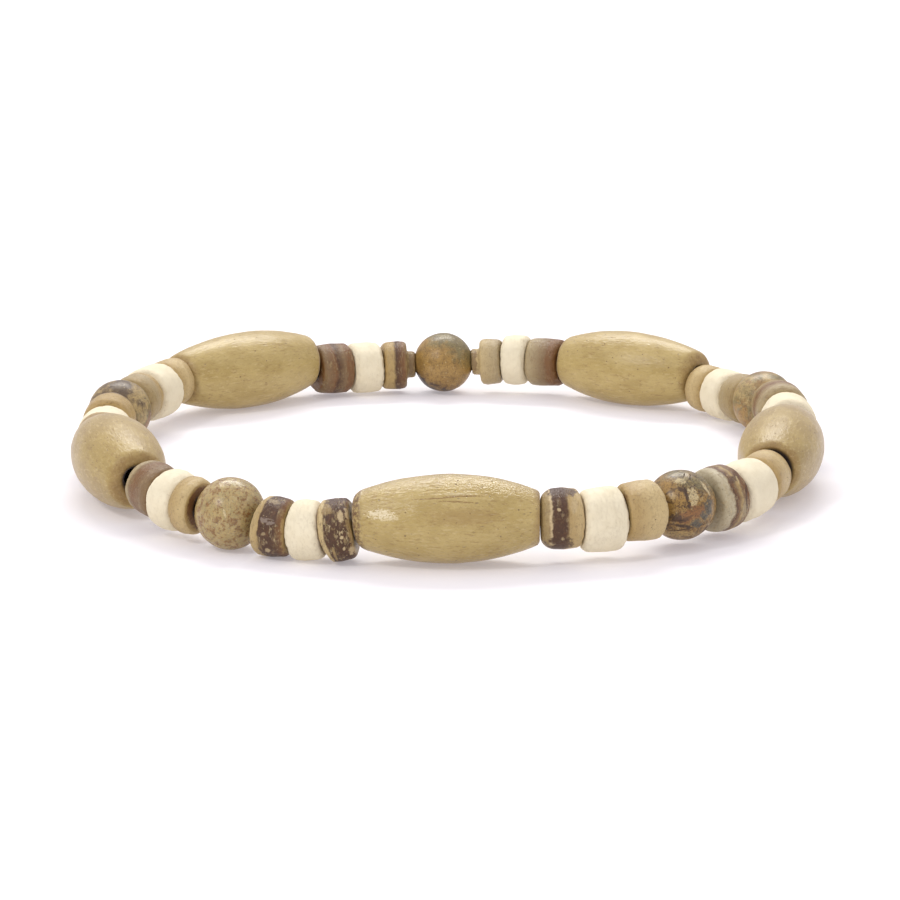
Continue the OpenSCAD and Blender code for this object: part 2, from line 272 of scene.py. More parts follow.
class Wire:
    """An output of a node, in a material or a geometry tree. Sums and products add Math nodes."""

    def __init__(self, tree, socket=None):
        self.tree = tree
        self.socket = socket

    def node(self, kind, settings=None, out=0, **values):
        """Adds a node: its settings first, then the values or wires of its inputs. A name's spaces
        are written as underscores."""
        node = self.tree.nodes.new(kind)
        for key, value in (settings or {}).items():
            if key == "stops":
                ramp = node.color_ramp
                while len(ramp.elements) < len(value):
                    ramp.elements.new(1)
                for element, (position, colour) in zip(ramp.elements, value):
                    element.position = position
                    element.color = colour
            else:
                setattr(node, key, value)
        for key, value in values.items():
            socket = next((s for s in node.inputs if s.identifier == key), None) or next(
                s for s in node.inputs if s.name.replace(" ", "_") == key and s.enabled)
            if isinstance(value, Wire):
                self.tree.links.new(value.socket, socket)
            else:
                socket.default_value = value
        return Wire(self.tree, node.outputs[out])

    def math(self, operation, other=0):
        return self.node("ShaderNodeMath", {"operation": operation}, Value=self, Value_001=other)

    def __add__(self, other):
        return self.math("ADD", other)

    def __sub__(self, other):
        return self.math("SUBTRACT", other)

    def __mul__(self, other):
        return self.math("MULTIPLY", other)

    def __truediv__(self, other):
        return self.math("DIVIDE", other)

    def __rsub__(self, other):
        return self.node("ShaderNodeMath", {"operation": "SUBTRACT"}, Value=other, Value_001=self)

    def __rtruediv__(self, other):
        return self.node("ShaderNodeMath", {"operation": "DIVIDE"}, Value=other, Value_001=self)

    __radd__ = __add__
    __rmul__ = __mul__

    def size(self):
        return self.math("ABSOLUTE")

    def between(self, low, high, from_value=0.0, to_value=1.0):
        """Goes smoothly from one value to the other as this rises from low to high."""
        return self.node("ShaderNodeMapRange", {"interpolation_type": "SMOOTHSTEP"}, Value=self,
                         From_Min=low, From_Max=high, To_Min=from_value, To_Max=to_value)

    def fading(self, low, high):
        """Falls smoothly from 1 to 0 as this rises from low to high."""
        return self.between(low, high, 1.0, 0.0)

    def vector(self, operation, out="Vector", **values):
        return self.node("ShaderNodeVectorMath", {"operation": operation}, out, Vector=self, **values)

    def moved(self, offset):
        return self.vector("ADD", Vector_001=offset)

    def strides(self, number, stride):
        """Moves a pattern by that many strides, so each bead is cut from wood or rock of its own."""
        return self.moved([number * part for part in stride])

    def stretched(self, scale):
        return self.vector("MULTIPLY", Vector_001=scale)

    def scaled(self, factor):
        return self.vector("SCALE", Scale=factor)

    def towards(self, direction):
        """How far this point lies in a direction."""
        return self.vector("DOT_PRODUCT", "Value", Vector_001=Vector(direction))

    def from_axis(self):
        """How far this point lies from the bead's own bore line."""
        return self.stretched((0, 1, 1)).vector("LENGTH", "Value")

    def noise(self, scale, detail=3.0, roughness=0.5, distortion=0.0):
        """Cloudy noise with scale patches to the millimetre, or to the metre on the table."""
        return self.node("ShaderNodeTexNoise", Vector=self, Scale=scale, Detail=detail,
                         Roughness=roughness, Distortion=distortion)

    def cells(self, scale):
        """Distance from the nearest of scattered points, scale of them to the millimetre."""
        return self.node("ShaderNodeTexVoronoi", Vector=self, Scale=scale)


# A Mix node has an output for each kind of value that it can mix. This one is for colours.
MIXED_COLOUR = 2

# A blot shows only on the front half of a bead, and grows in between these depths. Its edge fades
# over this range of its squared size, and noise frays it by this much.
BLOT_SEEN = (0.1, 0.5)
BLOT_EDGE = (0.5, 1.5)
BLOT_FRAY = 7


def laid(mask, over, colour):
    """A colour laid over another where the mask is 1."""
    return mask.node("ShaderNodeMix", {"data_type": "RGBA"}, MIXED_COLOUR, Factor_Float=mask,
                     A_Color=over, B_Color=colour)


def blotted(colour, spot, place, ragged, blots):
    """Lays single patches where the bead in front of the camera has them. Each is its colour, its
    strength, its middle (right, up), its half sizes and its lean in degrees, in millimetres."""
    right, up, near = (place.turn @ axis for axis in PICTURE)
    seen = spot.towards(near).between(*BLOT_SEEN)
    for tone, strength, (x, y), (wide, tall), lean in blots:
        turn = math.radians(lean)
        across = spot.towards((right * math.cos(turn) + up * math.sin(turn)) / wide)
        rise = spot.towards((up * math.cos(turn) - right * math.sin(turn)) / tall)
        across = across - (x * math.cos(turn) + y * math.sin(turn)) / wide
        rise = rise - (y * math.cos(turn) - x * math.sin(turn)) / tall
        inside = (across * across + rise * rise + (ragged - 0.5) * BLOT_FRAY).fading(*BLOT_EDGE)
        colour = laid(inside * seen * strength, colour, tone)
    return colour


def new_finish(name, **even):
    """A new material, its shader and a wire to start its nodes from. What is the same all over the
    surface is set on the shader's own sockets."""
    finish = bpy.data.materials.new(name)
    finish.use_nodes = True
    shader = finish.node_tree.nodes["Principled BSDF"]
    for key, value in even.items():
        shader.inputs[key.replace("_", " ")].default_value = value
    return finish, shader, Wire(finish.node_tree)


def bead_attribute(start, name, out="Vector"):
    return start.node("ShaderNodeAttribute", {"attribute_name": name}, out)


def wire_up(shader, colour, roughness, height, depth):
    """Colour, roughness and relief into the shader; depth is that of the relief in millimetres."""
    tree = shader.id_data
    tree.links.new(colour.socket, shader.inputs["Base Color"])
    tree.links.new(roughness.socket, shader.inputs["Roughness"])
    relief = height.node("ShaderNodeBump", Strength=1.0, Distance=depth * MM, Height=height)
    tree.links.new(relief.socket, shader.inputs["Normal"])


def new_tree(name, **inputs):
    """A new geometry tree, and a wire for each of its inputs. They are told by their kind, and a
    name's spaces are written as underscores."""
    tree = bpy.data.node_groups.new(name, "GeometryNodeTree")
    for key, kind in inputs.items():
        tree.interface.new_socket(key.replace("_", " "), in_out="INPUT", socket_type=f"NodeSocket{kind}")
    tree.interface.new_socket("Finish", in_out="INPUT", socket_type="NodeSocketMaterial")
    tree.interface.new_socket("Piece", in_out="OUTPUT", socket_type="NodeSocketGeometry")
    given = tree.nodes.new("NodeGroupInput")
    return tree, {s.name: Wire(tree, s) for s in given.outputs}


def hand_over(tree, shape, finish):
    """Ends a geometry tree: its shape is made smooth and real, and gets its finish."""
    smooth = shape.node("GeometryNodeSetShadeSmooth", Geometry=shape)
    real = shape.node("GeometryNodeRealizeInstances", Geometry=smooth)
    dressed = shape.node("GeometryNodeSetMaterial", Geometry=real, Material=finish)
    tree.links.new(dressed.socket, tree.nodes.new("NodeGroupOutput").inputs["Piece"])


def worn_surface():
    """A geometry tree that wears a turned bead: a slow swell of the whole surface, small pits, and
    chips along its rims, each cut into the bead from its own outline and never out of it."""
    tree, told = new_tree("worn bead surface", Bead="Geometry", Swell="Float", Swell_Size="Float",
                          Pit="Float", Pit_Size="Float", Chip="Float", Chip_Size="Float", Seed="Float")
    start = Wire(tree)
    place = start.node("GeometryNodeInputNamedAttribute", {"data_type": "FLOAT_VECTOR"}, "Attribute",
                       Name="place")
    side = start.node("GeometryNodeInputNamedAttribute", {"data_type": "FLOAT"}, "Attribute", Name="side")
    rim = start.node("GeometryNodeInputNamedAttribute", {"data_type": "FLOAT"}, "Attribute", Name="rim")
    seed = told["Seed"]
    here = place.moved(start.node("ShaderNodeCombineXYZ", X=seed * 7.3, Y=seed * 3.1, Z=seed * 5.7))
    swell = here.noise(1.0 / told["Swell Size"], 1.0).between(0.3, 0.7)
    pit = here.cells(1.0 / told["Pit Size"]).fading(0.15, 0.5)
    scarce = here.noise(0.9, 2.0).between(0.45, 0.62)
    chip = here.noise(1.0 / told["Chip Size"], 2.0).between(0.42, 0.72)
    depth = (swell * told["Swell"] + pit * scarce * told["Pit"]) * side + chip * rim * told["Chip"]
    inward = start.node("GeometryNodeInputNormal").scaled(depth * -MM)
    cut = start.node("GeometryNodeSetPosition", Geometry=told["Bead"], Offset=inward)
    hand_over(tree, cut, told["Finish"])
    return tree


def made_real(piece, tree, **told):
    """Runs a geometry tree on a piece with these inputs and keeps the plain mesh."""
    modifier = piece.modifiers.new(tree.name, "NODES")
    modifier.node_group = tree
    for item in tree.interface.items_tree:
        key = item.name.replace(" ", "_")
        if item.in_out == "INPUT" and key in told:
            modifier[item.identifier] = told[key]
    evaluated = piece.evaluated_get(bpy.context.evaluated_depsgraph_get())
    mesh = bpy.data.meshes.new_from_object(evaluated)
    mesh.name = piece.name
    piece.modifiers.remove(modifier)
    piece.data = mesh


def strung(piece, node):
    """A finished bead rides on the bracelet and stands for its CAD solid."""
    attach(piece, "root")
    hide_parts(node)


def olive_end(place, rim, mouth):
    """From the middle of an olive's bowed side round one rim and down the mouth of its bore."""
    bow = OLIVE_BOW * 2 * place.radius
    rise = place.radius - bow
    rim_height = rise + math.sqrt((bow - rim) ** 2 - (place.half - rim) ** 2)
    lean = math.degrees(math.asin((place.half - rim) / (bow - rim)))
    side = arc((0, rise), bow, 0, lean, SIDE_STEP)
    turn = 90
    if rim_height < mouth:
        turn = math.degrees(math.acos(min(1, (mouth - rim_height) / rim)))
    round_rim = arc((place.half - rim, rim_height), rim, lean, turn, RIM_STEP)
    edge = [(place.half - OLIVE_DISH, mouth)] if rim_height > mouth else []
    return side + round_rim[1:] + edge + [(place.half - OLIVE_MOUTH_DEPTH, place.bore), (0, place.bore)]


# One look gives way to the other over this stretch in the middle of a bead.
MIDDLE = (-0.1, 0.1)


def olive_wood(number, place, mouths, tones=(KHAKI, STRAW), dull=0.28, relief=OLIVE_RELIEF, rough_end=0,
               blots=()):
    """Satin wood: cloudy, with short dashes along the grain, pores, rough stained ends and painted shade in
    the mouths of its bore. One end may be much rougher, -1 for the first and 1 for the last."""
    finish, shader, start = new_finish(
        f"satin olive wood {number}", Specular_IOR_Level=0.6, Sheen_Weight=0.2, Sheen_Roughness=0.35,
        Sheen_Tint=OLIVE_SHEEN)
    spot = bead_attribute(start, "place")
    here = spot.strides(number, (11.3, 4.7, 8.9))
    grain = here.stretched((0.28, 1, 1))
    cloud = here.stretched((0.6, 1, 1)).noise(0.6, 4.0, 0.6)
    dash = grain.noise(4.0, 3.0, 0.65)
    pale_dash = grain.moved((7, 7, 7)).noise(4.6, 2.0, 0.6)
    fine = here.stretched((0.6, 1, 1)).noise(8.5, 3.0, 0.7)
    patch = here.noise(0.5, 2.0)
    pore = grain.cells(3.0).fading(0.05, 0.2) * patch.between(0.48, 0.6)
    dot = here.cells(1.1).fading(0.04, 0.1)
    along = spot.towards((1, 0, 0))
    from_end = place.half - along.size()
    sawn = (from_end + (fine - 0.5) * 1.2 + (cloud - 0.5)).fading(0.0, 0.75)
    if rough_end:
        rough = (along * rough_end).between(place.half - OLIVE_ROUGH_FROM, place.half - OLIVE_ROUGH_TO)
    else:
        rough = sawn * 0.2
    mouth = along.between(*MIDDLE, *mouths)
    # Painted shade: the mouth of the bore darkens towards its inside.
    bore_shade = spot.from_axis().fading(mouth - OLIVE_BORE_SHADE, mouth)
    colour = laid(cloud.between(0.32, 0.68), *tones)
    colour = laid(dash.between(0.53, 0.68) * patch.between(0.3, 0.6, 0.35, 1.0) * 0.5, colour, BARK)
    colour = laid(pale_dash.between(0.54, 0.7) * 0.45, colour, PALE_STRAW)
    colour = laid(fine.between(0.52, 0.75) * 0.4, colour, BARK)
    colour = laid(pore * 0.55, colour, OLIVE_PORE)
    colour = laid(dot * 0.7, colour, OLIVE_PORE)
    colour = laid(sawn * 0.45, colour, OLIVE_END)
    colour = blotted(colour, spot, place, fine, blots)
    grit = here.noise(3.4, 3.0, 0.7)
    colour = laid(rough * grit.between(0.42, 0.56) * 0.8, colour, OLIVE_PORE)
    colour = laid(rough * (1 - grit).between(0.56, 0.68) * 0.6, colour, PALE_STRAW)
    colour = laid(bore_shade, colour, PAINTED_BORE_SHADE)
    roughness = dull + fine * 0.14 + sawn * 0.2 + rough * 0.2 + pore * 0.15
    height = pale_dash * 1.3 - dash * 0.5 + fine * 0.5 - pore * 0.6 - dot + rough * grit * 2
    wire_up(shader, colour, roughness, height, relief)
    return finish


# Of a pair, the first is for a bead's first end and the second for its last, anticlockwise.
olive_mouths = {2: (OLIVE_WORN_MOUTH, OLIVE_WIDE_MOUTH), 5: (OLIVE_WIDE_MOUTH, OLIVE_WIDE_MOUTH)}
olive_shapes = {
    1: {"rims": (OLIVE_RIM, OLIVE_SHARP_RIM), "snug": (1.2, 0), "lift": (0, OLIVE_LIFT)},
    2: {"snug": (0, 0)},
    4: {"snug": (1, 2)},
    5: {"snug": (0, 0)},
}
# On the front olive, the pale blots are painted highlights: a flecked glint near its first end and streaks
# along its top. The dark blots are lines of grain and a browner patch.
front_olive_blots = [
    (PAINTED_HIGHLIGHT, 0.75, (-5.2, 0.5), (0.9, 0.35), 0), (PAINTED_HIGHLIGHT, 0.5, (-4.6, 0.2), (0.8, 0.25), 0),
    (BARK, 0.9, (-0.9, 1.75), (1.5, 0.05), 3), (BARK, 0.9, (0.7, 1.45), (1.4, 0.05), -3),
    (BARK, 0.8, (1.2, 1.9), (1.6, 0.06), 0), (PAINTED_HIGHLIGHT, 0.4, (0.6, 2.1), (1.5, 0.1), 0),
    (OLIVE_END, 0.3, (1.2, 0.2), (2.6, 0.7), 0),
]
olive_looks = {
    1: {"dull": 0.12, "relief": OLIVE_DEEP_RELIEF, "rough_end": -1, "blots": front_olive_blots},
    2: {"tones": (DEEP_KHAKI, KHAKI), "dull": 0.32},
    3: {},
    4: {},
    5: {"tones": (DEEP_KHAKI, KHAKI), "dull": 0.34},
}
worn = worn_surface()
for number, look in olive_looks.items():
    name = f"olive_{number}"
    place = seats[name]
    mouths = olive_mouths.get(number, (OLIVE_MOUTH, OLIVE_MOUTH))
    shape = {"rims": (OLIVE_RIM, OLIVE_RIM)} | olive_shapes.get(number, {})
    first, last = [olive_end(place, rim, mouth) for rim, mouth in zip(shape.pop("rims"), mouths)]
    olive = turned(f"wooden_{name}", place, section(last, first, OLIVE_STEP), OLIVE_AROUND, **shape)
    made_real(olive, worn, Seed=float(number), Finish=olive_wood(number, place, mouths, **look),
              **OLIVE_WEAR)
    strung(olive, name)


# Stones. Five balls of mottled stone, ground round, drilled from both sides and polished. Each is
# of another piece of rock, so each has its own colours, cracks and grains.
STONE_ACROSS = 6
STONE_LIP = 0.15
STONE_LIP_TURNS = np.radians(np.linspace(20, 90, 4))
STONE_RELIEF = 0.025
STONE_STEP = 0.13
STONE_AROUND = 144
STONE_SEED = 20.0
STONE_WEAR = {"Swell": 0.03, "Swell_Size": 2.0, "Pit": 0.02, "Pit_Size": 0.6, "Chip": 0.0, "Chip_Size": 0.5}

SAND = tint(180, 155, 102)
OCHRE = tint(164, 130, 68)
GOLD = tint(152, 118, 62)
RUST = tint(132, 88, 44)
UMBER = tint(62, 42, 26)
SLATE = tint(80, 80, 68)
EARTH = tint(98, 80, 56)
BROWN = tint(122, 80, 40)
MOSS = tint(130, 116, 74)
GREEN_SAND = tint(170, 152, 102)
# Chalk-pale stone; also laid as painted highlights on the fronts of the first and fifth stone.
CHALK_AND_HIGHLIGHT = tint(206, 188, 142)


def stone_end(place):
    """From the middle of a stone's side to the countersunk mouth of its bore and into it."""
    mouth = place.bore + STONE_LIP
    turn = math.degrees(math.asin(mouth / place.radius))
    reach = place.radius * math.cos(math.radians(turn))
    side = arc((0, 0), place.radius, 0, 90 - turn, SIDE_STEP)
    funnel = [(reach - STONE_LIP * math.sin(t), place.bore + STONE_LIP * (1 - math.sin(t)))
              for t in STONE_LIP_TURNS]
    return side + funnel + [(0, place.bore)]


def mottled_stone(number, place, lie, layers, wild, cracks, mottles, smeared, dull, dusty, blots=()):
    """Polished stone. Its layers lie across the way 'lie', torn by noise as far as 'wild' says; over
    them run pale smears, dark cracks, mottles with a colour, a share and a scale of their own, dark
    and pale grains, and dust."""
    finish, shader, start = new_finish(f"mottled stone {number}")
    spot = bead_attribute(start, "place")
    here = spot.strides(number, (9.1, 13.7, 2.3))
    torn = here.noise(0.6, 6.0, 0.68, 0.5)
    straight = spot.towards(Vector(lie).normalized()) * (1 - wild) / STONE_ACROSS
    across = straight + (torn - 0.5) * (0.5 + wild * 1.6) + 0.5
    colour = across.node("ShaderNodeValToRGB", {"stops": layers}, Fac=across)
    smear = here.noise(1.5, 5.0, 0.7)
    colour = laid((1 - smear).between(0.54, 0.7) * smeared, colour, CHALK_AND_HIGHLIGHT)
    mottle_tone, mottle_share, mottle_scale = mottles
    mottle = here.moved((3, 1, 4)).noise(mottle_scale, 5.0, 0.72, 0.3)
    colour = laid(mottle.between(0.47, 0.62) * mottle_share, colour, mottle_tone)
    line = (here.noise(0.7, 4.0, 0.55, 0.8) - 0.5).size()
    crack = line.fading(0.0, 0.022) * here.noise(0.5, 1.0).between(0.46, 0.54) * cracks
    colour = laid(crack * 0.9, colour, UMBER)
    speck = here.cells(2.6).fading(0.06, 0.24) * here.noise(1.6, 2.0).between(0.48, 0.58)
    colour = laid(speck * 0.7, colour, mottle_tone)
    pale = here.moved((5, 5, 5)).cells(2.0).fading(0.06, 0.2)
    colour = laid(pale * 0.4, colour, CHALK_AND_HIGHLIGHT)
    colour = blotted(colour, spot, place, here.noise(2.4, 5.0, 0.75), blots)
    dust = here.noise(7.0, 3.0, 0.7)
    colour = laid(dust.between(0.48, 0.68) * dusty, colour, UMBER)
    roughness = dull + dust * 0.14 + speck * 0.15 + crack * 0.4
    height = dust * 0.4 - speck * 0.4 - crack * 1.5 + smear * 1.5
    wire_up(shader, colour, roughness, height, STONE_RELIEF)
    return finish


# On the front stone, the pale blot at (-0.3, 2.05), high on its top, is a painted highlight; the other pale
# blots are pale patches of the rock.
front_stone_blots = [
    (OCHRE, 0.7, (-1.3, 0.8), (0.9, 1.3), 0), (UMBER, 0.6, (-1.0, 1.2), (0.5, 0.12), 30),
    (UMBER, 0.6, (-1.3, 0.3), (0.45, 0.1), -20), (CHALK_AND_HIGHLIGHT, 0.75, (0.86, 0.7), (0.42, 0.7), 10),
    (CHALK_AND_HIGHLIGHT, 0.75, (-0.3, 2.05), (0.5, 0.2), 0), (SAND, 0.6, (-0.9, 0.75), (0.3, 0.25), 0),
    (UMBER, 0.85, (-0.25, 1.35), (0.3, 0.16), -30), (UMBER, 0.9, (0.26, 0.85), (0.15, 0.7), 14),
    (UMBER, 0.85, (0.5, 0.05), (0.14, 0.35), 0), (RUST, 0.9, (0.75, -0.75), (1.5, 0.5), 24),
    (UMBER, 0.75, (-0.7, -1.1), (0.8, 0.3), 0), (UMBER, 0.6, (0.2, -1.2), (0.6, 0.15), 30),
    (SLATE, 0.9, (1.2, -1.5), (0.5, 0.35), 20), (SLATE, 0.85, (2.2, -0.2), (0.35, 0.8), 0),
    (SLATE, 0.8, (1.8, -0.9), (0.3, 0.4), 0), (UMBER, 0.95, (0.0, -1.75), (1.0, 0.12), -8),
    (UMBER, 0.9, (-0.2, -2.1), (0.8, 0.07), 10), (CHALK_AND_HIGHLIGHT, 0.8, (2.0, 1.4), (0.1, 0.7), 35),
    (SAND, 0.6, (-0.3, -2.45), (1.3, 0.25), 0),
]
stone_looks = {
    1: {"lie": (0.35, 1, -0.1), "wild": 0.35, "cracks": 0.8, "mottles": (UMBER, 0.65, 2.6),
        "smeared": 0.45, "dull": 0.24, "dusty": 0.9, "blots": front_stone_blots,
        "layers": [(0.2, GOLD), (0.42, GOLD), (0.5, OCHRE), (0.6, GOLD), (0.8, MOSS)]},
    2: {"lie": (0, 1, 0), "wild": 0.4, "cracks": 0.3, "mottles": (RUST, 0.5, 1.2),
        "smeared": 0.3, "dull": 0.28, "dusty": 0.5,
        "layers": [(0.2, OCHRE), (0.38, OCHRE), (0.5, MOSS), (0.7, SAND), (0.85, MOSS)]},
    3: {"lie": (-0.6, 1, 0), "wild": 0.2, "cracks": 0.2, "mottles": (UMBER, 0.3, 1.3),
        "smeared": 0.15, "dull": 0.28, "dusty": 0.5,
        "layers": [(0.15, UMBER), (0.27, GOLD), (0.45, OCHRE), (0.62, OCHRE), (0.8, MOSS)]},
    4: {"lie": (0.5, 1, 0), "wild": 0.4, "cracks": 0.6, "mottles": (UMBER, 0.35, 1.2),
        "smeared": 0.3, "dull": 0.3, "dusty": 0.4,
        "layers": [(0.2, OCHRE), (0.4, RUST), (0.5, MOSS), (0.62, SAND), (0.8, EARTH)]},
    # The pale streak in the middle of the fifth stone is a painted highlight.
    5: {"lie": (0.2, 1, 0.2), "wild": 0.7, "cracks": 0.0, "mottles": (BROWN, 0.8, 2.0),
        "smeared": 0.45, "dull": 0.2, "dusty": 0.5, "blots": [(CHALK_AND_HIGHLIGHT, 0.9, (-0.25, 0.05), (0.09, 0.35), 15)],
        "layers": [(0.2, GREEN_SAND), (0.4, SAND), (0.5, GREEN_SAND), (0.6, SAND), (0.75, GREEN_SAND)]},
}
stone_shapes = {5: {"girth": 1.03, "lift": (0.09, 0.09)}}
for number, look in stone_looks.items():
    name = f"stone_{number}"
    place = seats[name]
    end = stone_end(place)
    stone = turned(f"round_{name}", place, section(end, end, STONE_STEP), STONE_AROUND, snug=(0, 0),
                   **stone_shapes.get(number, {}))
    made_real(stone, worn, Seed=STONE_SEED + number, Finish=mottled_stone(number, place, **look),
              **STONE_WEAR)
    strung(stone, name)


# Coconut discs. Twenty short beads cut from coconut shell with the bore across its layers, so the
# layers show as rings round each bead. They are tumbled until their rims are round, and waxed. Two
# at the back have a nose, a small step towards the stone between them.
COCO_RIM = 0.45
COCO_SOFT_RIM = 1.0
COCO_RELIEF = 0.08
COCO_BORE_SHADE = 0.45
COCO_SHADED_CORE_FADE = 0.3
COCO_SEED = 40.0
COCO_WEAR = {"Swell": 0.06, "Swell_Size": 2.2, "Pit": 0.03, "Pit_Size": 0.45, "Chip": 0.06, "Chip_Size": 0.7}
LAYER_SPAN = 6.0
DISC_CROWN = 0.06
DISC_CROWN_TURN = 8
DISC_LIP = 0.12
DISC_LIP_TURNS = np.radians(np.linspace(0, 90, 5))
DISC_STEP = 0.13
DISC_AROUND = 112
DISC_OVAL = 0.03
NOSE_WIDTH = 2.8
NOSE_LENGTH = 0.6
NOSE_RIM = 0.3
NOSE_RIM_STEP = 0.03
NOSE_CUP = 0.2
NOSE_FOOT = 0.12
NOSE_FOOT_RISE = 0.02

TAN = tint(178, 151, 98)
PALE_TAN = tint(200, 177, 126)
OLIVE_TAN = tint(162, 140, 94)
GREY_TAN = tint(172, 154, 116)
NUT = tint(120, 84, 48)
GREY_NUT = tint(128, 103, 70)
DARK = tint(76, 49, 28)
DARKER = tint(38, 24, 14)
FLECK = tint(200, 178, 134)
# Painted reflection: a greyish gloss laid on the dark side of one disc.
LILAC_REFLECTION = tint(152, 136, 120)
ASH = tint(186, 174, 142)


def disc_end(place, rim, nose=False):
    """From the middle of a disc's side round one rim and into the bore, over a nose if it has one.
    The side is a little crowned, so the rim starts DISC_CROWN_TURN degrees on."""
    reach = place.half - (NOSE_LENGTH if nose else 0)
    crown = (reach - rim, place.radius - rim - DISC_CROWN)
    line = [(0, place.radius)] + arc(crown, rim, DISC_CROWN_TURN, 90, RIM_STEP)
    if nose:
        tip = (place.half + NOSE_CUP - NOSE_RIM, NOSE_WIDTH / 2 - NOSE_RIM)
        line += [(reach + NOSE_FOOT_RISE, NOSE_WIDTH / 2 + NOSE_FOOT), (reach + NOSE_FOOT, NOSE_WIDTH / 2)]
        line += arc(tip, NOSE_RIM, 0, 90, NOSE_RIM_STEP)
    lip = (place.half - DISC_LIP, place.bore + DISC_LIP)
    mouth = [(lip[0] + DISC_LIP * math.cos(t), lip[1] - DISC_LIP * math.sin(t)) for t in DISC_LIP_TURNS]
    return line + mouth + [(0, place.bore)]


def by_chance(seed, lean, taper):
    """How a tumbled disc came out: its lean and taper, up to these either way, and its roundness."""
    chance = np.random.default_rng(seed)
    return {"lean": chance.uniform(-lean, lean), "taper": chance.uniform(-taper, taper),
            "oval": chance.uniform(0, DISC_OVAL)}


def coconut_shell(number, place, faces, layers, flecks, wild=0.8, shaded_core=0, blots=()):
    """Waxed coconut shell: its two flat faces, whose middle within the core radius of the axis is laid
    brown as painted shade, its layers with the millimetres along the bore where each begins or ends, which
    waver by
    'wild', fibres in the layers, pale flecks, pores, and painted shade dark in the bore and round its mouth."""
    finish, shader, start = new_finish(f"coconut shell {number}", Specular_IOR_Level=0.4)
    spot = bead_attribute(start, "place")
    side = bead_attribute(start, "side", "Fac")
    here = spot.strides(number, (6.1, 9.7, 3.9))
    along = spot.towards((1, 0, 0))
    waver = here.noise(0.8, 5.0, 0.72)
    across = (along + (waver - 0.5) * wild) / LAYER_SPAN + 0.5
    stops = [(at / LAYER_SPAN + 0.5, tone) for at, tone in layers]
    colour = across.node("ShaderNodeValToRGB", {"stops": stops}, Fac=across)
    face = laid(along.between(*MIDDLE), *faces)
    # Painted shade: a flat face is laid brown near the axis, where it lies in the shadow of the stone beside
    # it.
    if shaded_core:
        within = (spot.from_axis() + (waver - 0.5) * 1.2).fading(shaded_core - COCO_SHADED_CORE_FADE, shaded_core)
        face = laid(within, face, NUT)
    colour = laid((1 - side).between(0.1, 0.8), colour, face)
    fibre = here.stretched((2.2, 0.5, 0.5)).noise(2.6, 5.0, 0.7)
    mottle = here.noise(1.8, 5.0, 0.72)
    fine = here.stretched((1.4, 0.7, 0.7)).noise(6.5, 3.0, 0.7)
    colour = laid(fibre.between(0.52, 0.68) * (0.22 + flecks * 0.5), colour, NUT)
    colour = laid(mottle.between(0.53, 0.72) * (0.25 + flecks * 0.3), colour, DARK)
    colour = laid((1 - mottle).between(0.55, 0.72) * (0.2 + flecks * 0.3), colour, OLIVE_TAN)
    streak = here.stretched((1.5, 0.5, 0.6)).noise(1.8, 5.0, 0.68).between(0.54, 0.64) * flecks
    colour = laid(streak * 0.8, colour, OLIVE_TAN)
    dash = here.stretched((3.2, 0.9, 0.9)).noise(1.5, 4.0, 0.7).between(0.56, 0.62)
    patch = here.moved((2, 2, 2)).noise(0.8, 2.0).between(0.42, 0.52)
    colour = laid(dash * patch * flecks, colour, FLECK)
    crumb = here.moved((4, 4, 4)).cells(2.2).fading(0.06, 0.14)
    colour = laid(crumb * flecks, colour, FLECK)
    colour = laid(fine.between(0.52, 0.7) * 0.35, colour, NUT)
    pore = here.cells(3.0).fading(0.05, 0.16) * here.noise(1.1, 1.0).between(0.48, 0.58)
    colour = laid(pore * 0.7, colour, DARKER)
    colour = blotted(colour, spot, place, here.noise(2.4, 5.0, 0.75), blots)
    # Painted shade: near-black in the bore, running out round its mouth.
    dark_round_bore = (spot.from_axis() + (mottle - 0.5) * 0.8).fading(place.bore, place.bore + COCO_BORE_SHADE)
    colour = laid(dark_round_bore * 0.85, colour, DARKER)
    roughness = 0.22 + mottle * 0.2 + fine * 0.12 + pore * 0.3
    height = fibre * 0.8 + mottle * 1.0 + fine * 0.5 + dash * patch * flecks - pore * 0.8
    wire_up(shader, colour, roughness, height, COCO_RELIEF)
    return finish


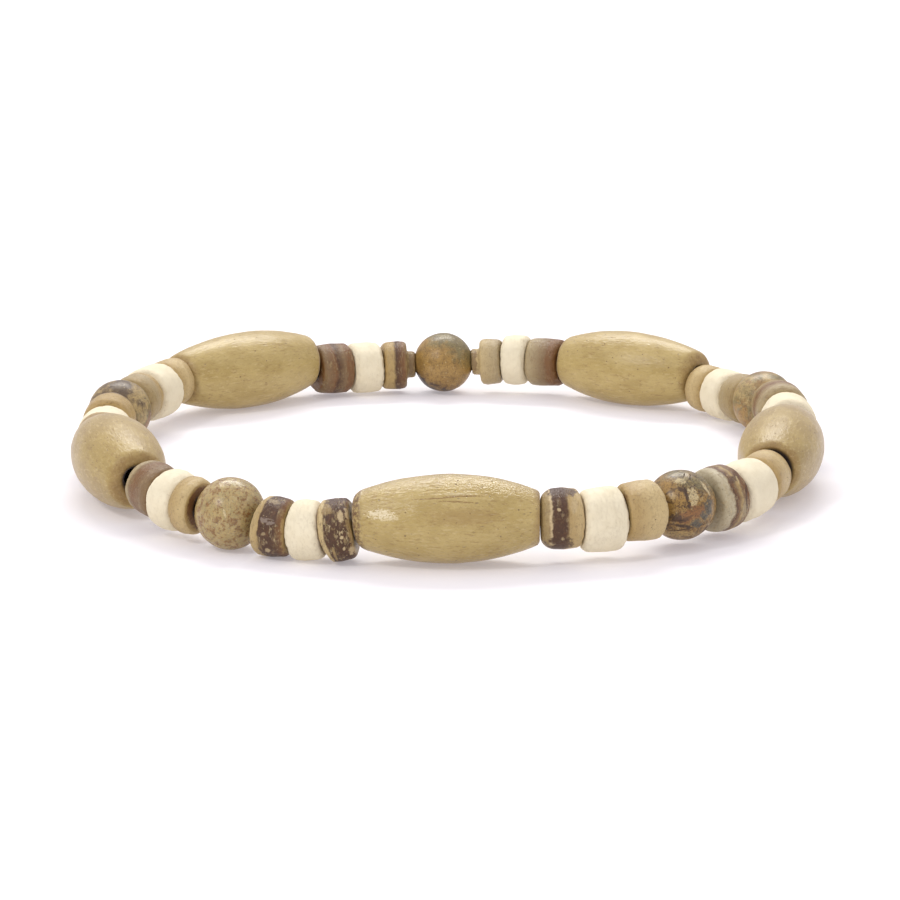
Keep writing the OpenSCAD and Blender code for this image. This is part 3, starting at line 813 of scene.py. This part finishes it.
PLAIN_TAN = [(-1, TAN), (0, PALE_TAN), (1, TAN)]
coconut_looks = {
    1: {"faces": (OLIVE_TAN, TAN), "flecks": 0.25, "wild": 0.45,
        "layers": [(-1.5, OLIVE_TAN), (-1.0, OLIVE_TAN), (-0.92, FLECK), (-0.87, FLECK), (-0.8, DARK),
                   (-0.1, DARK), (0.08, TAN), (1.4, PALE_TAN)],
        "blots": [(DARK, 0.9, (0.1, 2.3), (1.2, 0.45), 0), (DARK, 0.9, (-0.1, -2.0), (0.8, 0.5), 0),
                  (FLECK, 0.6, (0.87, 1.0), (0.32, 0.5), 0), (FLECK, 0.8, (-0.1, 0.72), (0.09, 0.14), 0),
                  (FLECK, 0.9, (-0.5, -2.0), (0.2, 0.12), 0), (FLECK, 0.7, (0.1, -1.6), (0.1, 0.14), 0)]},
    # The brown blot on the second disc, at its first end, is painted shade cast by the rim of the cream disc
    # beside it.
    2: {"faces": (OLIVE_TAN, TAN), "flecks": 0.03, "layers": [(-1, TAN), (0, PALE_TAN), (1, PALE_TAN)],
        "blots": [(NUT, 0.8, (-1.05, 0.75), (0.35, 0.8), -10)]},
    3: {"faces": (ASH, NUT), "flecks": 0.35, "wild": 0.9,
        "layers": [(-0.75, ASH), (-0.62, GREY_NUT), (-0.54, DARK), (-0.34, NUT), (-0.24, GREY_NUT),
                   (0.0, TAN), (0.15, GREY_NUT), (0.5, NUT), (0.9, NUT)],
        "blots": [(DARK, 0.7, (1.35, 1.9), (0.35, 0.5), -20), (PALE_TAN, 0.8, (1.55, 1.55), (0.08, 0.4), 20),
                  (GREY_TAN, 0.7, (2.2, -0.9), (0.3, 0.9), -10), (DARK, 0.8, (2.3, 0.4), (0.1, 1.2), 0)]},
    4: {"faces": (OLIVE_TAN, TAN), "flecks": 0.03, "layers": PLAIN_TAN},
    5: {"faces": (NUT, DARK), "flecks": 0.3, "layers": [(-1, DARK), (0, NUT), (1, DARK)]},
    6: {"faces": (GREY_TAN, NUT), "flecks": 0.2, "layers": [(-1, GREY_TAN), (0, NUT), (1, OLIVE_TAN)]},
    7: {"faces": (OLIVE_TAN, GREY_TAN), "flecks": 0.05, "layers": [(-1, OLIVE_TAN), (1, GREY_TAN)]},
    8: {"faces": (TAN, PALE_TAN), "flecks": 0.05, "layers": PLAIN_TAN},
    9: {"faces": (NUT, GREY_TAN), "flecks": 0.15,
        "layers": [(-1.4, NUT), (-0.9, NUT), (-0.6, GREY_NUT), (1, GREY_TAN)]},
    # The grey-brown blots on the tenth and eleventh disc are painted shade in the gap at their noses, beside
    # the stone.
    10: {"faces": (GREY_TAN, GREY_TAN), "flecks": 0.15, "layers": [(-1, GREY_TAN), (1, PALE_TAN)],
         "blots": [(GREY_NUT, 0.8, (-1.35, 0.0), (0.35, 1.6), 0)]},
    11: {"faces": (NUT, OLIVE_TAN), "flecks": 0.3,
         "layers": [(-0.9, OLIVE_TAN), (-0.4, NUT), (0.3, DARK), (0.6, TAN), (1, TAN)],
         "blots": [(GREY_NUT, 0.8, (1.3, 0.0), (0.35, 1.6), 0)]},
    12: {"faces": (NUT, NUT), "flecks": 0.3,
         "layers": [(-1.3, NUT), (-0.8, NUT), (-0.5, GREY_NUT), (0.2, DARK), (0.5, NUT), (1.3, GREY_NUT)]},
    13: {"faces": (TAN, TAN), "flecks": 0.05, "layers": PLAIN_TAN},
    14: {"faces": (TAN, GREY_TAN), "flecks": 0.1, "layers": [(-1, TAN), (0, GREY_TAN), (1, OLIVE_TAN)]},
    15: {"faces": (TAN, TAN), "flecks": 0.1, "layers": [(-1.2, DARK), (-0.6, TAN), (1, TAN)]},
    16: {"faces": (TAN, NUT), "flecks": 0.2, "layers": [(-1, TAN), (1, NUT)]},
    17: {"faces": (GREY_TAN, GREY_NUT), "flecks": 0.2, "wild": 0.9,
         "layers": [(-1, GREY_TAN), (-0.8, GREY_TAN), (-0.4, GREY_NUT), (0.2, NUT), (1.0, GREY_NUT),
                    (1.4, GREY_NUT)]},
    # The brown middle of this disc's face is painted shade from the stone beside it.
    18: {"faces": (TAN, TAN), "flecks": 0.05, "shaded_core": 2.0,
         "layers": [(-0.8, OLIVE_TAN), (-0.3, TAN), (0.8, PALE_TAN)]},
    19: {"faces": (NUT, OLIVE_TAN), "flecks": 0.5, "wild": 0.6,
         "layers": [(-1.3, PALE_TAN), (-0.42, TAN), (-0.3, DARK), (0.8, DARK), (1.2, NUT), (1.5, TAN)],
         "blots": [(FLECK, 0.35, (-0.1, 2.1), (0.45, 0.16), -15),
                   # The three lilac-grey blots are a painted reflection on the dark shell.
                   (LILAC_REFLECTION, 0.65, (-0.9, 0.6), (0.2, 0.28), 20), (LILAC_REFLECTION, 0.6, (-0.5, 0.35), (0.28, 0.13), 10),
                   (LILAC_REFLECTION, 0.5, (-0.55, 0.7), (0.25, 0.06), -15),
                   (FLECK, 0.4, (-0.95, -0.58), (0.1, 0.13), 0),
                   (FLECK, 0.8, (-0.63, -1.95), (0.14, 0.22), 0), (TAN, 0.6, (0.45, -0.6), (0.35, 1.4), 0)]},
    20: {"faces": (NUT, OLIVE_TAN), "flecks": 0.8,
         "layers": [(-1.4, PALE_TAN), (-0.72, PALE_TAN), (-0.6, DARK), (1.1, DARK), (1.3, NUT)],
         "blots": [(FLECK, 0.85, (0.13, 1.08), (0.2, 0.4), 0), (FLECK, 0.85, (0.63, 1.2), (0.2, 0.4), 10),
                   (TAN, 0.6, (0.8, 0.0), (0.26, 1.1), 8), (FLECK, 0.9, (1.02, -1.7), (0.28, 0.28), 0),
                   (FLECK, 0.9, (0.16, -0.62), (0.1, 0.12), 0), (FLECK, 0.9, (0.38, -1.5), (0.1, 0.12), 0),
                   (TAN, 0.7, (-0.3, -1.9), (0.13, 0.5), 15), (TAN, 0.6, (-1.0, 1.6), (0.5, 0.4), 0)]},
}
coconut_shapes = {
    1: {"girth": 1.06, "lean": -0.02, "rims": (COCO_SOFT_RIM, COCO_RIM)},
    2: {"girth": 1.06, "taper": -0.05},
    3: {"girth": 1.06},
    4: {"lift": (-0.15, -0.15)},
    10: {"noses": (False, True), "snug": (2, 1.4)},
    11: {"noses": (True, False), "snug": (1.3, 2)},
    12: {"girth": 1.05, "snug": (0, 1)},
    16: {"snug": (0, 1.9)},
    18: {"snug": (0, 1)},
    19: {"girth": 1.03, "lean": 0.09, "lift": (0.03, 0.03)},
    20: {"girth": 1.1, "lean": -0.1, "taper": 0.05, "snug": (0, 0.8)},
}
coconut_slots = {"coconut_dark": (5, 9, 12, 19, 20), "coconut_brown": (1, 3, 6, 11, 14, 16, 17)}
for number, look in coconut_looks.items():
    name = f"coco_disc_{number}"
    place = seats[name]
    shape = {"rims": (COCO_RIM, COCO_RIM), "noses": (False, False)}
    shape |= by_chance(number, lean=0.04, taper=0.04) | coconut_shapes.get(number, {})
    first, last = [disc_end(place, rim, nose) for rim, nose in zip(shape.pop("rims"), shape.pop("noses"))]
    disc = turned(f"shell_{name}", place, section(last, first, DISC_STEP), DISC_AROUND, **shape)
    made_real(disc, worn, Seed=COCO_SEED + number, Finish=coconut_shell(number, place, **look), **COCO_WEAR)
    slot = next((slot for slot, discs in coconut_slots.items() if number in discs), "coconut_tan")
    strung(disc, name)


# Cream discs. Ten short beads of bleached wood, broken and tumbled rather than turned, so their
# rims are uneven and chipped. They are left raw and chalky.
CREAM_DISCS = 10
CREAM_RIM = 0.55
CREAM_RELIEF = 0.03
CREAM_BORE_DARK = 0.3
CREAM_SEED = 70.0
CREAM_CHANCE = 100
CREAM_WEAR = {"Swell": 0.07, "Swell_Size": 2.2, "Pit": 0.02, "Pit_Size": 0.6, "Chip": 0.1, "Chip_Size": 0.6}

IVORY = tint(233, 222, 191)
BONE = tint(223, 210, 176)
DUST = tint(130, 100, 66)


def bleached_wood(number, place, blots):
    """Chalky bleached wood: hardly any grain, hair cracks round the bead, dust in its chips."""
    finish, shader, start = new_finish(f"bleached wood {number}")
    spot = bead_attribute(start, "place")
    here = spot.strides(number, (5.3, 2.9, 7.7))
    cloud = here.noise(0.8, 4.0, 0.6)
    hair = here.stretched((1.6, 0.35, 0.35)).noise(3.0, 4.0, 0.6)
    colour = laid(cloud.between(0.35, 0.75) * 0.6, IVORY, BONE)
    crack = (hair - 0.5).size().fading(0.0, 0.02)
    colour = laid(crack * 0.07, colour, DUST)
    from_end = place.half - spot.towards((1, 0, 0)).size()
    chip = here.noise(2.2, 3.0, 0.6).between(0.6, 0.7) * from_end.fading(0.05, 0.5)
    colour = laid(chip * 0.25, colour, DUST)
    colour = blotted(colour, spot, place, here.noise(3.0, 3.0, 0.6), blots)
    # Darker in the bore and round its mouth.
    dark_round_bore = (spot.from_axis() + (cloud - 0.5) * 0.8).fading(place.bore, place.bore + CREAM_BORE_DARK)
    colour = laid(dark_round_bore * 0.6, colour, DUST)
    roughness = 0.6 + cloud * 0.15
    height = hair * 0.5 + here.noise(6.0, 3.0) * 0.4 + cloud - crack * 0.3
    wire_up(shader, colour, roughness, height, CREAM_RELIEF)
    return finish


cream_blots = {10: [(DUST, 0.7, (1.05, -0.6), (0.07, 0.16), 0), (DUST, 0.7, (1.2, -1.1), (0.07, 0.14), 0)]}
cream_shapes = {
    1: {"girth": 1.08, "taper": -0.04},
    2: {"girth": 1.03, "rim": 0.9},
    9: {"rim": 0.8},
    10: {"girth": 1.03, "lift": (0.02, 0.02)},
}
for number in range(1, CREAM_DISCS + 1):
    name = f"cream_disc_{number}"
    place = seats[name]
    shape = {"rim": CREAM_RIM} | by_chance(CREAM_CHANCE + number, lean=0.03, taper=0.05)
    shape |= cream_shapes.get(number, {})
    end = disc_end(place, shape.pop("rim"))
    disc = turned(f"bleached_{name}", place, section(end, end, DISC_STEP), DISC_AROUND, **shape)
    made_real(disc, worn, Seed=CREAM_SEED + number,
              Finish=bleached_wood(number, place, cream_blots.get(number, ())), **CREAM_WEAR)
    strung(disc, name)


# Elastic thread. One closed loop of stretch cord with a woven brown cover, pulled through every
# bore. It runs straight inside a bead and bends a little in each gap.
THREAD_WIDTH = 0.78
THREAD_LEAD = 0.4
THREAD_TURNS = 90.0
THREAD_RIBS = 5.0
THREAD_RIB_DEPTH = 0.12
THREAD_STEPS = 1200
THREAD_SIDES = 30
COVER_RELIEF = 0.03
COVER = tint(84, 62, 46)
COVER_SHADE = tint(46, 32, 24)


def covered_elastic():
    """A geometry tree that sweeps a ribbed, twisted section along a closed line."""
    tree, told = new_tree("covered elastic", Line="Geometry", Width="Float", Rib_Depth="Float",
                          Ribs="Float", Turns="Float", Steps="Int", Sides="Int")
    start = Wire(tree)
    line = start.node("GeometryNodeMeshToCurve", Mesh=told["Line"])
    line = start.node("GeometryNodeResampleCurve", Curve=line, Count=told["Steps"])
    line = start.node("GeometryNodeSetCurveNormal", Curve=line)
    gone = start.node("GeometryNodeSplineParameter", {}, "Factor")
    twist = gone * told["Turns"] * (2 * math.pi)
    line = start.node("GeometryNodeSetCurveTilt", Curve=line, Tilt=twist)
    ring = start.node("GeometryNodeCurvePrimitiveCircle", Resolution=told["Sides"],
                      Radius=told["Width"] * 0.5)
    turn = start.node("GeometryNodeSplineParameter", {}, "Factor") * told["Ribs"] * (2 * math.pi)
    ribbed = 1.0 - (1.0 - turn.math("SINE")) * told["Rib Depth"] * 0.5
    ring = start.node("GeometryNodeSetPosition", Geometry=ring,
                      Position=start.node("GeometryNodeInputPosition").scaled(ribbed))
    cord = start.node("GeometryNodeCurveToMesh", Curve=line, Profile_Curve=ring)
    hand_over(tree, cord, told["Finish"])
    return tree


def woven_cover():
    """Brown woven cover: crossing yarns as fine cells, darker between them."""
    finish, shader, start = new_finish("woven brown cover")
    spot = start.node("ShaderNodeTexCoord", {}, "Object").stretched((1 / MM, 1 / MM, 1 / MM))
    yarn = spot.cells(6.0)
    colour = laid(yarn.between(0.2, 0.7), COVER, COVER_SHADE)
    fuzz = spot.noise(12.0, 3.0)
    wire_up(shader, colour, 0.7 + fuzz * 0.2, fuzz - yarn, COVER_RELIEF)
    return finish


thread_line = np.array([place.middle + side * (place.half - THREAD_LEAD) * place.turn[0]
                        for place in strand for side in (-1, 1)])
line_mesh = bpy.data.meshes.new("elastic_cord")
line_mesh.from_pydata((thread_line * MM).tolist(),
                      [(i, (i + 1) % len(thread_line)) for i in range(len(thread_line))], [])
cord = bpy.data.objects.new("elastic_cord", line_mesh)
bpy.context.scene.collection.objects.link(cord)
made_real(cord, covered_elastic(), Width=THREAD_WIDTH * MM, Rib_Depth=THREAD_RIB_DEPTH, Ribs=THREAD_RIBS,
          Turns=THREAD_TURNS, Steps=THREAD_STEPS, Sides=THREAD_SIDES, Finish=woven_cover())
strung(cord, "elastic_thread")


# Table and light. A white table under a large soft light from above and behind, a small lamp at
# the left of the camera, and a white room whose ceiling is brighter than its walls.
TABLE_RADIUS = 3
TABLE_SIDES = 64
TABLE_WHITE = tint(218, 217, 218)
TABLE_SHADE = tint(214, 213, 214)
ROOM_WHITE = (0.95, 0.93, 1.0, 1)
WALL_LIGHT = 0.6
CEILING_LIGHT = 1.02
CEILING_FROM = 0.8

table_rim = [(TABLE_RADIUS * math.cos(t), TABLE_RADIUS * math.sin(t), 0)
             for t in np.linspace(0, 2 * math.pi, TABLE_SIDES + 1)[:-1]]
table_mesh = bpy.data.meshes.new("table")
table_mesh.from_pydata(table_rim, [], [list(range(TABLE_SIDES))])
floor = bpy.data.objects.new("table", table_mesh)
bpy.context.scene.collection.objects.link(floor)
white, shader, start = new_finish("white table", Roughness=0.8, Specular_IOR_Level=0.2,
                                  Emission_Color=(1, 0.93, 0.97, 1), Emission_Strength=0.27)
paper = start.node("ShaderNodeTexCoord", {}, "Object").noise(40.0, 3.0)
white.node_tree.links.new(laid(paper, TABLE_SHADE, TABLE_WHITE).socket, shader.inputs["Base Color"])
table_mesh.materials.append(white)


def lamp(name, place, size, watts, colour):
    """A soft lamp that shines at the middle of the bracelet."""
    data = bpy.data.lights.new(name, "AREA")
    data.shape = "RECTANGLE"
    data.size, data.size_y = size
    data.energy = watts
    data.color = colour
    made = bpy.data.objects.new(name, data)
    made.location = place
    made.rotation_euler = Vector(place).to_track_quat("Z", "Y").to_euler()
    bpy.context.scene.collection.objects.link(made)


lamp("top light", place=(0, 0.37, 0.46), size=(0.44, 0.13), watts=2.1, colour=(1, 0.99, 0.96))
lamp("side lamp", place=(-0.27, -0.275, 0.36), size=(0.08, 0.08), watts=0.6, colour=(1, 0.98, 0.97))

world = bpy.data.worlds.new("white room")
world.use_nodes = True
room = world.node_tree.nodes["Background"]
room.inputs["Color"].default_value = ROOM_WHITE
height = Wire(world.node_tree).node("ShaderNodeTexCoord", {}, "Generated").towards((0, 0, 1))
brightness = height.between(0.0, CEILING_FROM, WALL_LIGHT, CEILING_LIGHT)
world.node_tree.links.new(brightness.socket, room.inputs["Strength"])
bpy.context.scene.world = world
bpy.context.scene.view_settings.view_transform = "Standard"
